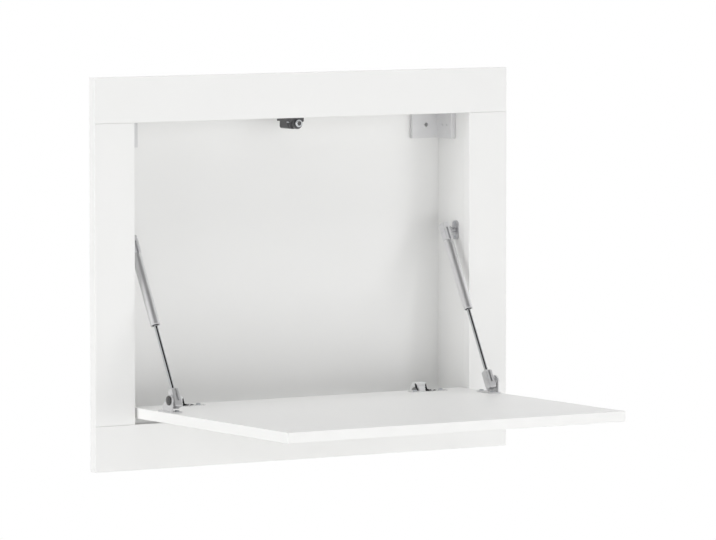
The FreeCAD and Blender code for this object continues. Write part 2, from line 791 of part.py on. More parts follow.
def make_stay_tubes():
    """Tubes with their guides and upper sockets: the part of each stay that slides on its rod."""
    half = socket_width / 2
    inner = tube_radius - tube_wall
    shell = line_bar(tube_low, tube_high, tube_radius).cut(
        line_bar(tube_low, tube_high - tube_end_wall, inner))
    stub = line_bar(tube_high, tube_high + tube_stub, tube_stub_radius)
    stub_hole = line_bar(tube_high, tube_high + tube_stub, tube_stub_radius + hole_clearance)
    plug = line_bar(tube_low, tube_low + guide_length, inner - hole_clearance)
    lip = line_bar(tube_low - guide_lip, tube_low, guide_lip_radius)
    rod_way = line_bar(tube_low - guide_lip, tube_low + guide_length, rod_radius + running_clearance)
    pin = cross_bar(stay_length, -half, half, stay_pin_radius)
    head = cross_bar(stay_length, -half - stay_pin_head, -half, stay_pin_head_radius)
    washer = cross_bar(stay_length, half, half + head_washer, head_washer_radius)
    pieces = {"_stay_tube": shell.fuse(stub),
              "_tube_guide": plug.fuse(lip).cut(rod_way),
              "_tube_socket": socket(stay_length, -1).cut([stub_hole, pin]),
              "_head_rivet": pin.fuse([head, washer])}
    for name, side in SIDES:
        for piece, shape in pieces.items():
            add(name + piece, [sided(on_stay(shape), side)])


def foot_bracket():
    """Foot bracket: a base on the flap, with an upright ear for the pivot."""
    base = rounded_plate((foot_inner, foot_y - foot_front), (foot_outer, foot_y + foot_back), flap_top,
                         foot_thick, foot_round)
    low = flap_top + foot_thick / 2
    outline = [(foot_y - ear_radius, low), (foot_y - ear_radius, foot_z), (foot_y + ear_radius, foot_z),
               (foot_y + ear_back, flap_top + ear_back_height), (foot_y + ear_back, low)]
    web = prism([(ear_inner, y, z) for y, z in outline], [0] * len(outline), (ear_thick, 0, 0))
    top = bar((ear_inner, foot_y, foot_z), (1, 0, 0), ear_radius, ear_thick)
    hole = bar((ear_inner, foot_y, foot_z), (1, 0, 0), stay_pin_radius, ear_thick)
    seats = [pan_hole(p, (0, 0, -1), foot_thick) for p in foot_screw_places()]
    return base.fuse([web, top]).cut([hole] + seats).removeSplitter()


def foot_rivet():
    """Foot pivot: a pin through socket and ear, a head inside, a spacer and a cap outside."""
    inner = stay_centre - socket_width / 2 - part_gap
    outer = stay_centre + socket_width / 2 + part_gap
    spans = ((inner - stay_pin_head, ear_outer, stay_pin_radius),
             (inner - stay_pin_head, inner, stay_pin_head_radius),
             (outer, ear_inner, spacer_radius),
             (ear_outer, foot_outer, foot_cap_radius))
    bars = [bar((start, foot_y, foot_z), (1, 0, 0), radius, end - start) for start, end, radius in spans]
    return bars[0].fuse(bars[1:])


def wall_bracket():
    """Wall bracket: a plate on the niche's side and a stud that ends just short of the socket."""
    x = opening_x - head_plate
    half_y, half_z = head_plate_width / 2, head_plate_height / 2
    points = [(x, head_y - half_y, head_z - half_z), (x, head_y + half_y, head_z - half_z),
              (x, head_y + half_y, head_z + half_z), (x, head_y - half_y, head_z + half_z)]
    plate = prism(points, [head_plate_round] * len(points), (head_plate, 0, 0))
    stud = bar((stud_end, head_y, head_z), (1, 0, 0), stud_radius, x - stud_end)
    collar = bar((stud_end, head_y, head_z), (1, 0, 0), stud_collar_radius, stud_collar)
    seats = [flat_hole(p, (1, 0, 0), head_plate) for p in head_screw_places()]
    return plate.fuse([stud, collar]).cut(seats)


def make_stay_brackets():
    """Foot brackets and rivets on the flap, wall brackets in the niche, and their screws."""
    for name, side in SIDES:
        add(name + "_foot_bracket", [sided(foot_bracket(), side)])
        add(name + "_foot_rivet", [sided(foot_rivet(), side)])
        add(name + "_wall_bracket", [sided(wall_bracket(), side)])
    add("foot_bracket_screws", [sided(pan_screw(p, (0, 0, -1), foot_thick + screw_bite), side)
                                for _, side in SIDES for p in foot_screw_places()])
    add("wall_bracket_screws", [sided(flat_screw(p, (1, 0, 0), head_plate + screw_bite), side)
                                for _, side in SIDES for p in head_screw_places()])


make_frame()
make_niche()
make_hangers()
make_latch()
make_flap()
make_hinges()
make_stay_rods()
make_stay_tubes()
make_stay_brackets()

os.makedirs("parts", exist_ok=True)
for name, shape in nodes.items():
    shape.exportStep("parts/" + name + ".step")
    print(name, len(shape.Solids), shape.isValid(), round(shape.Volume))
print(len(nodes), "nodes; stay", round(stay_length, 3), "long, foot", foot_y, foot_z, "head", head_y, head_z)
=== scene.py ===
"""Looks of a fold down wall desk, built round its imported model.

The desk is satin white board: a flat frame on a shallow niche, and a flap that folds down level as
the desk top. Two cup hinges carry the flap, two telescopic stays hold it and a push latch shuts it.
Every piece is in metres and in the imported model's own frame: X to the right, Y into the wall, Z up.
"""

import json
import logging
import math
from dataclasses import dataclass
from enum import Enum
from typing import Callable

import bmesh
import bpy
from bmesh.types import BMEdge, BMesh, BMFace
from bpy.types import ID, Material, Mesh, Node, NodeSocket, NodeTree, Object, World
from mathutils import Matrix, Vector

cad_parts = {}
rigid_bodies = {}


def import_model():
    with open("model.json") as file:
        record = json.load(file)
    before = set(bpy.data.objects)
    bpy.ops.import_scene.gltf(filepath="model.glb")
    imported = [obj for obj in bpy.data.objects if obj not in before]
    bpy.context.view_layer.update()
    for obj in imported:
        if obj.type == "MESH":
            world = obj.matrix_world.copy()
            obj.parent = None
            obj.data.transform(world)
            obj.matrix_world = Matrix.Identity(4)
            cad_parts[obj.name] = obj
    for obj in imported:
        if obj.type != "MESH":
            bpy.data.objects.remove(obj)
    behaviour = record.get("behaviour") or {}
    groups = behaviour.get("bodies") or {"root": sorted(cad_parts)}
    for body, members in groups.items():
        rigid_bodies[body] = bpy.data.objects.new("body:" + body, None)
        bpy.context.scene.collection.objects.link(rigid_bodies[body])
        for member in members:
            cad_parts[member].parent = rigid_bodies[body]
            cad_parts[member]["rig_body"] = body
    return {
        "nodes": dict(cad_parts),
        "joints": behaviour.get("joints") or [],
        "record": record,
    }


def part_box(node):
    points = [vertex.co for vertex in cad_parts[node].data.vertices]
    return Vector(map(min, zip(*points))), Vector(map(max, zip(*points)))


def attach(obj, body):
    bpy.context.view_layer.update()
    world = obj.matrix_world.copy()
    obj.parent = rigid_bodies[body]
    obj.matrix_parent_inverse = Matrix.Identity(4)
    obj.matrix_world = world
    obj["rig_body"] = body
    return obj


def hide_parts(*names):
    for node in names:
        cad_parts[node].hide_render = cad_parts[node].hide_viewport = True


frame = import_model()

# Two numbers that belong together, such as a radius and a height.
Pair = tuple[float, float]

MM = 0.001
SIDES = ("left", "right")
SLOTS = {part["node"]: part["material_slot"] for part in frame["record"]["subparts"]}
JOINTS = {joint["name"]: joint for joint in frame["joints"]}

# Degrees: up to FLAT two facets are one face, above CREASE an edge is sharp and above CORNER eased.
FLAT_DEG = 0.3
CREASE_DEG = 32.0
CORNER_DEG = 40.0
# Facets across an eased corner.
EASE_FACETS = 2
# Metres: points nearer than this are one point.
WELD = 1e-6
# Millimetres: a point nearer than this to a plane lies on it.
PLANE_ROOM = 0.02
# A Mix node's colour inputs and colour output, which share their names with others of the node.
MIX_FIRST, MIX_SECOND, MIX_RESULT = 6, 7, 2
# The span that most of a noise's values lie in.
NOISE_SPAN = (0.25, 0.75)

log = logging.getLogger("wall_desk")


# ---- colour and shader nodes
def linear(code: str) -> tuple[float, float, float, float]:
    """Turn an sRGB hex colour into a linear one.

    Args:
        code: The colour, such as "#F2F2F1".

    Returns:
        Red, green, blue and an alpha of 1.
    """
    values = [int(code[start:start + 2], 16) / 255 for start in (1, 3, 5)]
    red, green, blue = [v / 12.92 if v <= 0.04045 else ((v + 0.055) / 1.055) ** 2.4 for v in values]
    return red, green, blue, 1.0


def add_node(tree: NodeTree, kind: str, inputs: dict[str | int, object] | None = None,
             **settings: object) -> Node:
    """Add a shader node with its settings, values and links.

    Args:
        tree: The node tree that gets the node.
        kind: The node's type without its "ShaderNode" prefix.
        inputs: A value, or a socket to link from, for each named or numbered input.
        **settings: Properties of the node itself.

    Returns:
        The new node.
    """
    node = tree.nodes.new("ShaderNode" + kind)
    for name, value in settings.items():
        setattr(node, name, value)
    for name, value in (inputs or {}).items():
        if isinstance(value, NodeSocket):
            tree.links.new(value, node.inputs[name])
        else:
            node.inputs[name].default_value = value
    return node


def blank_tree(owner: Material | World) -> NodeTree:
    """Give a material or a world an empty node tree.

    Args:
        owner: The material or the world.

    Returns:
        Its node tree.
    """
    owner.use_nodes = True
    owner.node_tree.nodes.clear()
    return owner.node_tree


# ---- finishes
class Relief(Enum):
    """What the making of a surface leaves on it, as the stretch of its grain along X, Y and Z."""

    EVEN = (1.0, 1.0, 1.0)
    DRAWN = (1.0, 1.0, 0.03)
    TURNED = (0.02, 0.02, 1.0)
    BRUSHED = (0.04, 1.0, 1.0)
    TIMBER = (1.0, 1.0, 0.12)


@dataclass(frozen=True)
class Finish:
    """A material: what it is, how its surface was made, and what the eye gets from both.

    Attributes:
        name: The material's name.
        colour: Its sRGB colour.
        shade: The sRGB colour that it drifts to.
        roughness: Its middle roughness.
        spread: How far the roughness drifts to either side.
        grain_mm: Size of its grain.
        depth_mm: Depth of its grain.
        drift_mm: Size of the patches in which colour and gloss drift.
        relief: What its making leaves on it.
        metallic: 1 for a bare metal, less where its making spreads the light as a coat does.
        ior: Its index of refraction; a metal keeps the default.
        coat: Weight of a clear coat.
        tilt: Turn of the grain about X, for a piece that leans.
    """

    name: str
    colour: str
    shade: str
    roughness: float
    spread: float
    grain_mm: float
    depth_mm: float
    drift_mm: float
    relief: Relief = Relief.EVEN
    metallic: float = 0.0
    ior: float = 1.5
    coat: float = 0.0
    tilt: float = 0.0

    def material(self) -> Material:
        """Make the material, or find it where it is made already.

        Returns:
            The material.
        """
        made = bpy.data.materials.get(self.name)
        if made:
            return made
        made = bpy.data.materials.new(self.name)
        tree = blank_tree(made)
        place = add_node(tree, "TexCoord").outputs["Object"]
        grain_size = self.grain_mm * MM
        stretch = [share / grain_size for share in self.relief.value]
        turned = add_node(tree, "Mapping", {"Vector": place, "Rotation": (self.tilt, 0, 0)})
        along = add_node(tree, "Mapping", {"Vector": turned.outputs["Vector"], "Scale": stretch})
        grain = add_node(tree, "TexNoise", {"Vector": along.outputs["Vector"], "Scale": 1.0,
                                            "Detail": 3.0, "Roughness": 0.6})
        drift = add_node(tree, "TexNoise", {"Vector": place, "Scale": 1 / (self.drift_mm * MM),
                                            "Detail": 2.0})
        tone = add_node(tree, "Mix", {"Factor": drift.outputs["Fac"], MIX_FIRST: linear(self.colour),
                                      MIX_SECOND: linear(self.shade)}, data_type="RGBA")
        gloss = add_node(tree, "MapRange", {"Value": grain.outputs["Fac"], "From Min": NOISE_SPAN[0],
                                            "From Max": NOISE_SPAN[1],
                                            "To Min": self.roughness - self.spread,
                                            "To Max": self.roughness + self.spread})
        bump = add_node(tree, "Bump", {"Height": grain.outputs["Fac"], "Strength": 1.0,
                                       "Distance": self.depth_mm * MM})
        shader = add_node(tree, "BsdfPrincipled", {
            "Base Color": tone.outputs[MIX_RESULT], "Roughness": gloss.outputs["Result"],
            "Normal": bump.outputs["Normal"], "Metallic": self.metallic, "IOR": self.ior,
            "Coat Weight": self.coat})
        add_node(tree, "OutputMaterial", {"Surface": shader.outputs["BSDF"]})
        return made


def stay_lean() -> float:
    """Angle about X from upright to the stays' line, from the slide's own axis."""
    _, y, z = JOINTS["right_stay_slide"]["axis"]
    return math.atan2(y, -z)


# Melamine faced particle board: a pressed resin skin with a fine pearl, satin, with no grain or
# colour drift that the eye can name. The pearl is drawn at 1.2 mm, so that it shows at all.
MELAMINE = Finish("satin_melamine", "#E9E9E8", "#E6E6E5", 0.42, 0.04, 1.2, 0.004, 180.0)
# ABS edge strip, milled flush: the same white, a touch glossier than the board.
EDGE_STRIP = Finish("abs_edge_strip", "#EAEAE9", "#E7E7E6", 0.36, 0.03, 0.9, 0.003, 90.0, ior=1.53)
# Bare beech: pale brown with short darker pores along the dowel.
BEECH = Finish("bare_beech", "#D2AF86", "#B98F63", 0.62, 0.08, 0.8, 0.03, 4.0, Relief.TIMBER)
# Nickel plate over pressed steel: a bright neutral metal with faint rolling lines.
NICKEL = Finish("nickel_plate", "#F0F0F0", "#E6E6E7", 0.20, 0.05, 0.35, 0.0015, 9.0,
                Relief.BRUSHED, metallic=1.0)
# Nickel on the hinges' cast arms: tumbled, so that it spreads light almost as a pale coat does.
TUMBLED_NICKEL = Finish("tumbled_nickel", "#F3F3F3", "#EBEBEC", 0.34, 0.06, 0.4, 0.003, 5.0,
                        metallic=0.45)
# Satin nickel on the stays' upper sockets: cast, blasted and plated, so pale, even and a shade greyer.
SATIN_NICKEL = Finish("satin_nickel", "#DCDCDD", "#D1D1D3", 0.40, 0.06, 0.4, 0.003, 5.0,
                      metallic=0.5)
# Dull nickel on the wall brackets: barrel plated, so softer and greyer.
DULL_NICKEL = Finish("dull_nickel", "#D2D2D4", "#C4C4C7", 0.46, 0.06, 0.5, 0.004, 6.0, metallic=1.0)
# Zinc plated screws: bright and cool, with a thin patchy passivation.
ZINC_PLATE = Finish("zinc_plate", "#CBCDD0", "#B9BCC1", 0.28, 0.08, 0.25, 0.003, 2.5, metallic=1.0)
# Die cast zinc, tumbled and clear passivated: satin, with soft mottles from the tumbling.
CAST_ZINC = Finish("cast_zinc", "#E6E6E7", "#DCDCDD", 0.56, 0.06, 0.9, 0.006, 5.0, metallic=1.0)
# Matt anodised aluminium tube, blasted first: soft long lines from drawing under an even haze.
ANODISED = Finish("anodised_aluminium", "#EDEDEE", "#E6E6E7", 0.50, 0.05, 0.4, 0.002, 12.0,
                  Relief.DRAWN, metallic=1.0, tilt=-stay_lean())
# Ground and hard chromed rod: a mirror with the finest rings from grinding.
HARD_CHROME = Finish("hard_chrome", "#C4C5C7", "#BCBEC0", 0.06, 0.02, 0.3, 0.0004, 20.0,
                     Relief.TURNED, metallic=1.0, tilt=-stay_lean())
# Polished chrome on the latch's nose: a mirror that shows white and black bands.
POLISHED_CHROME = Finish("polished_chrome", "#DCDEE0", "#D4D7DA", 0.06, 0.02, 0.8, 0.0004, 6.0,
                         metallic=1.0)
# Sintered ferrite, ground: nearly black, with a dull stony face.
FERRITE = Finish("sintered_ferrite", "#2B2B2C", "#363637", 0.50, 0.06, 0.2, 0.004, 1.5, ior=1.9)
# Glass filled nylon, moulded: dark grey with a fine spark eroded grain, and glossy where it curves.
DARK_NYLON = Finish("dark_grey_nylon", "#4A4A4C", "#434345", 0.24, 0.05, 0.5, 0.004, 5.0, ior=1.58)
# Acetal, moulded: black and slightly waxy.
ACETAL = Finish("black_acetal", "#141415", "#1B1B1D", 0.32, 0.05, 0.4, 0.004, 5.0, ior=1.48)
# Black enamel on the foot caps: baked on, nearly black and glossy.
BLACK_ENAMEL = Finish("black_enamel", "#161617", "#1C1C1E", 0.14, 0.03, 0.8, 0.003, 4.0,
                      ior=1.55, coat=0.6)
# Black oxide on steel: dark and dry, with a dull highlight; on the hinges' links it paints shade.
PAINTED_SHADE_OXIDE = Finish("black_oxide_painted_shade", "#3A3A3C", "#2E2E30", 0.38, 0.08, 0.3, 0.004, 3.0, metallic=1.0)
# Powder coat on die cast zinc: light grey with a soft orange peel.
POWDER = Finish("grey_powder_coat", "#D5D5D6", "#CFCFD0", 0.48, 0.05, 1.6, 0.020, 20.0)
# Spring wire: drawn steel with a light oil film.
SPRING_WIRE = Finish("spring_wire", "#8E8F92", "#7C7D80", 0.30, 0.06, 0.2, 0.002, 2.0, metallic=1.0)
# White enamel on the strike disc, sprayed with the board's own white.
ENAMEL = Finish("white_enamel", "#E9E9E8", "#E6E6E5", 0.38, 0.03, 1.0, 0.004, 20.0, ior=1.52)


# ---- meshes
def mesh_from(work: BMesh, name: str) -> Mesh:
    """Write a working mesh to a new mesh, and free it.

    Args:
        work: The working mesh.
        name: The new mesh's name.

    Returns:
        The new mesh.
    """
    mesh = bpy.data.meshes.new(name)
    work.to_mesh(mesh)
    work.free()
    return mesh


def shaded(work: BMesh) -> Mesh:
    """Write a piece's working mesh to a new mesh that is smooth but for its creases.

    Args:
        work: The working mesh, which is freed.

    Returns:
        The new mesh, which gets its name when it is shown.
    """
    mesh = mesh_from(work, "piece")
    kept = mesh.attributes.get("custom_normal")
    if kept:
        mesh.attributes.remove(kept)
    mesh.shade_smooth()
    mesh.set_sharp_from_angle(angle=math.radians(CREASE_DEG))
    return mesh


def ease_edges(work: BMesh, edges: list[BMEdge], ease_mm: float,
               clamp: bool = False) -> None:
    """Ease some edges of a working mesh.

    Args:
        work: The working mesh.
        edges: The edges.
        ease_mm: Width of the easing on each face.
        clamp: Whether the easing gets narrower where it would overlap another.
    """
    bmesh.ops.bevel(work, geom=edges, offset=ease_mm * MM, offset_type="OFFSET", segments=EASE_FACETS,
                    profile=0.5, affect="EDGES", clamp_overlap=clamp)


def eased_copy(node: str, ease_mm: float,
               chosen: Callable[[Vector], bool] | None = None) -> Mesh:
    """Copy a CAD node's mesh and ease its outer corners.

    Args:
        node: The CAD node.
        ease_mm: Width of the easing on each face.
        chosen: Says for the middle of a corner, in millimetres, whether it is eased; all are if None.

    Returns:
        The new mesh.
    """
    work = bmesh.new()
    work.from_mesh(frame["nodes"][node].data)
    bmesh.ops.remove_doubles(work, verts=work.verts, dist=WELD)
    bmesh.ops.dissolve_limit(work, angle_limit=math.radians(FLAT_DEG), verts=work.verts,
                             edges=work.edges)
    corner = math.radians(CORNER_DEG)
    eased = []
    for edge in work.edges:
        if len(edge.link_faces) == 2 and edge.is_convex and edge.calc_face_angle() > corner:
            middle = (edge.verts[0].co + edge.verts[1].co) / 2 / MM
            if chosen is None or chosen(middle):
                eased.append(edge)
    ease_edges(work, eased, ease_mm)
    return shaded(work)


def slab(low: Vector, high: Vector, open_sides: str, ease_mm: float) -> Mesh:
    """Make a board or a strip, eased where two of its open sides meet.

    Args:
        low: Its lowest corner, in metres.
        high: Its highest corner.
        open_sides: The sides that nothing covers, such as "-y +y -z".
        ease_mm: Width of the easing on each side.

    Returns:
        The new mesh.
    """
    work = bmesh.new()
    bmesh.ops.create_cube(work, size=1.0)
    for corner in work.verts:
        corner.co = Vector(high[axis] if corner.co[axis] > 0 else low[axis] for axis in range(3))

    def is_open(face: BMFace) -> bool:
        """Whether a side is one of the open ones."""
        axis = max(range(3), key=lambda place: abs(face.normal[place]))
        return ("+" if face.normal[axis] > 0 else "-") + "xyz"[axis] in open_sides

    work.normal_update()
    eased = [edge for edge in work.edges if all(is_open(face) for face in edge.link_faces)]
    ease_edges(work, eased, ease_mm)
    return shaded(work)


def turned(outline: list[Pair], at: Matrix, ring: bool = False,
           facets: int = 72) -> Mesh:
    """Turn an outline about the Z axis.

    Args:
        outline: Radius and height of each corner, in millimetres.
        at: Where the piece's own axes are.
        ring: Whether the outline closes on itself; if not, both of its ends are closed by a face.
        facets: Facets round the axis.

    Returns:
        The new mesh.
    """
    work = bmesh.new()
    circles = []
    for radius, height in outline:
        turns = [math.tau * step / facets for step in range(facets if radius > 0 else 1)]
        circles.append([work.verts.new((radius * MM * math.cos(turn), radius * MM * math.sin(turn),
                                        height * MM)) for turn in turns])
    for one, other in zip(circles, circles[1:] + circles[:1] * ring):
        for step in range(facets):
            after = (step + 1) % facets
            corners = [one[step % len(one)], one[after % len(one)], other[after % len(other)],
                       other[step % len(other)]]
            work.faces.new(list(dict.fromkeys(corners)))
    for circle in (circles[0], circles[-1]):
        if len(circle) > 1 and not ring:
            work.faces.new(circle)
    bmesh.ops.transform(work, matrix=at, verts=work.verts)
    bmesh.ops.recalc_face_normals(work, faces=work.faces)
    return shaded(work)


def rounded(radius: float, height: float, ease: float, steps: int = 5) -> list[Pair]:
    """Outline of a bar's rounded end, from its side to its face.

    Args:
        radius: Radius of the bar.
        height: Height of its end face.
        ease: Radius of the rounding.
        steps: Facets round the corner.

    Returns:
        Radius and height of each corner, in millimetres.
    """
    turns = [math.radians(90) * step / steps for step in range(steps + 1)]
    return [(radius - ease * (1 - math.cos(turn)), height - ease * (1 - math.sin(turn)))
            for turn in turns]


def joined(meshes: list[Mesh]) -> Mesh:
    """Put several meshes into one.

    Args:
        meshes: The meshes, which are removed.

    Returns:
        The new mesh.
    """
    work = bmesh.new()
    for mesh in meshes:
        work.from_mesh(mesh)
        bpy.data.meshes.remove(mesh)
    return shaded(work)


def plate(outline: tuple[Pair, ...], at: Vector, start: float, end: float,
          ease_mm: float) -> Mesh:
    """Cut a plate that stands across X.

    Args:
        outline: Its corners along Y and Z, in millimetres.
        at: The point that they are measured from, in metres.
        start: Its lower face along X, in millimetres from that point.
        end: Its upper face.
        ease_mm: Easing of its edges.

    Returns:
        The new mesh.
    """
    work = bmesh.new()
    faces = [[work.verts.new(at + Vector((x, y, z)) * MM) for y, z in outline] for x in (start, end)]
    for face in faces:
        work.faces.new(face)
    for step in range(len(outline)):
        after = (step + 1) % len(outline)
        work.faces.new((faces[0][step], faces[0][after], faces[1][after], faces[1][step]))
    bmesh.ops.recalc_face_normals(work, faces=work.faces)
    ease_edges(work, list(work.edges), ease_mm, clamp=True)
    return shaded(work)


def facing(node: str, way: str) -> Matrix:
    """Axes of a round piece: Z runs along one of the row's axes, from the CAD node's face on that side.

    Args:
        node: The CAD node.
        way: The side that Z leaves the node by, such as "-y"; heights in the node are negative.

    Returns:
        The matrix of those axes.
    """
    low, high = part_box(node)
    axis = "xyz".index(way[1])
    direction = Vector((0, 0, 0))
    direction[axis] = 1 if way[0] == "+" else -1
    start = (low + high) / 2
    start[axis] = high[axis] if way[0] == "+" else low[axis]
    return Matrix.Translation(start) @ direction.to_track_quat("Z", "Y").to_matrix().to_4x4()


def add_object(name: str, data: ID) -> Object:
    """Add an object to the scene.

    Args:
        name: Its name.
        data: Its mesh, lamp or camera.

    Returns:
        The new object.
    """
    made = bpy.data.objects.new(name, data)
    bpy.context.scene.collection.objects.link(made)
    return made


# ---- pieces
@dataclass
class SubAssembly:
    """Pieces that are made and finished together."""

    def keep(self, finish: Finish, *nodes: str) -> None:
        """Finish CAD nodes without a change of their shape.

        Args:
            finish: Their finish.
            *nodes: The CAD nodes.
        """
        for node in nodes:
            piece = frame["nodes"][node]
            piece.data.materials.clear()
            piece.data.materials.append(finish.material())
            log.info("finished %s in %s", node, finish.name)

    def show(self, name: str, mesh: Mesh, finish: Finish, node: str,
             slot: str | None = None) -> None:
        """Show a mesh in place of a CAD node, on its body. The hidden node takes the finish too.

        Args:
            name: The piece's name.
            mesh: Its mesh.
            finish: Its finish.
            node: The CAD node that it stands for.
            slot: The material slot; not used.
        """
        piece = add_object(name, mesh)
        mesh.name = name
        mesh.materials.append(finish.material())
        smooth = piece.modifiers.new("weighted_normals", "WEIGHTED_NORMAL")
        smooth.keep_sharp = True
        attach(piece, frame["nodes"][node]["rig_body"])
        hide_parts(node)
        self.keep(finish, node)
        log.info("made %s in %s for %s", name, finish.name, node)

    def ease(self, finish: Finish, ease_mm: float, *nodes: str,
             chosen: Callable[[Vector], bool] | None = None) -> None:
        """Show CAD nodes with their corners eased.

        Args:
            finish: Their finish.
            ease_mm: Width of the easing.
            *nodes: The CAD nodes.
            chosen: Says which corners are eased, as in eased_copy.
        """
        for node in nodes:
            self.show(node + "_eased", eased_copy(node, ease_mm, chosen), finish, node)


def near(value: float, *planes: float) -> bool:
    """Whether the size of a value lies on one of some planes, in millimetres."""
    return any(abs(abs(value) - plane) < PLANE_ROOM for plane in planes)


@dataclass
class Frame(SubAssembly):
    """The flat frame: two rails, two stiles, their edge strips and dowels.

    Attributes:
        board_width: Width of its boards.
        strip: Thickness of the edge strips.
        strip_ease: Easing along the edge strips.
        joint_ease: Easing of the stiles' ends and of the strips that they meet, which makes a fine
            groove at each joint.
    """

    board_width: float = 70.0
    strip: float = 1.0
    strip_ease: float = 0.5
    joint_ease: float = 0.85

    def build(self) -> None:
        """Make and finish the frame's pieces."""
        for node in ("left_stile", "right_stile"):
            board = slab(*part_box(node), "-y +y -z +z", self.joint_ease)
            self.show(node + "_eased", board, MELAMINE, node)
        self.show("frame_strips", joined(self.strips()), EDGE_STRIP, "frame_edging")
        self.keep(MELAMINE, "top_rail", "bottom_rail")
        self.keep(BEECH, "frame_dowels")

    def strips(self) -> list[Mesh]:
        """Make the strips on the rails' four narrow sides and on the stiles' two.

        Returns:
            Their meshes.
        """
        _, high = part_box("frame_edging")
        strip, board = self.strip * MM, self.board_width * MM
        edge_x, edge_z = high.x, high.z
        rail_z = (edge_z - strip, edge_z - board + strip)
        made = []
        for sign, out, back in ((1, "+", "-"), (-1, "-", "+")):
            made.append(self.one_strip((-edge_x, edge_x), (sign * edge_z, sign * (edge_z - strip)),
                                       f"{out}z -x +x"))
            inner_z = sign * (edge_z - board)
            made.append(self.one_strip((-edge_x, edge_x), (inner_z, inner_z + sign * strip), f"{back}z",
                                       self.joint_ease))
            outer = (sign * edge_x, sign * (edge_x - strip))
            for end in (1, -1):
                made.append(self.one_strip(outer, (end * rail_z[0], end * rail_z[1]), f"{out}x"))
            stile_z = (board - edge_z, edge_z - board)
            made.append(self.one_strip(outer, stile_z, f"{out}x -z +z"))
            inner_x = sign * (edge_x - board)
            made.append(self.one_strip((inner_x, inner_x + sign * strip), stile_z, f"{back}x"))
        return made

    def one_strip(self, x: Pair, z: Pair, outward: str,
                  ease_mm: float | None = None) -> Mesh:
        """Make one strip through the frame's whole thickness.

        Args:
            x: Its ends along X, in metres.
            z: Its ends along Z.
            outward: Its open sides, apart from the frame's front and back.
            ease_mm: Its easing; that of the strips in general if None.

        Returns:
            Its mesh.
        """
        low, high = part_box("frame_edging")
        return slab(Vector((min(x), low.y, min(z))), Vector((max(x), high.y, max(z))),
                    outward + " -y +y", ease_mm or self.strip_ease)


@dataclass
class Niche(SubAssembly):
    """The shallow box behind the frame, with its dowels and screws.

    Attributes:
        ease_mm: Easing of its outer corners.
    """

    ease_mm: float = 0.4

    def build(self) -> None:
        """Make and finish the niche's pieces."""
        _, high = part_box("right_side")
        out_x, out_z = high.x / MM, high.z / MM
        self.ease(MELAMINE, self.ease_mm, "left_side", "right_side", "niche_top", "niche_bottom",
                  chosen=lambda p: near(p.x, out_x) or near(p.z, out_z))
        self.keep(MELAMINE, "niche_back")
        self.keep(BEECH, "niche_dowels")
        self.keep(ZINC_PLATE, "niche_screws", "back_screws")


@dataclass
class Hangers(SubAssembly):
    """The two angle fittings in the niche's top corners.

    Attributes:
        ease_mm: Easing of their upper and lower corners.
    """

    ease_mm: float = 0.6

    def build(self) -> None:
        """Make and finish the hangers and their screws."""
        for side in SIDES:
            low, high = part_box(side + "_hanger")
            ends = (low.z / MM, high.z / MM)
            self.ease(POWDER, self.ease_mm, side + "_hanger",
                      chosen=lambda p, ends=ends: near(p.z, *ends))
        self.keep(POWDER, "hanger_screws")


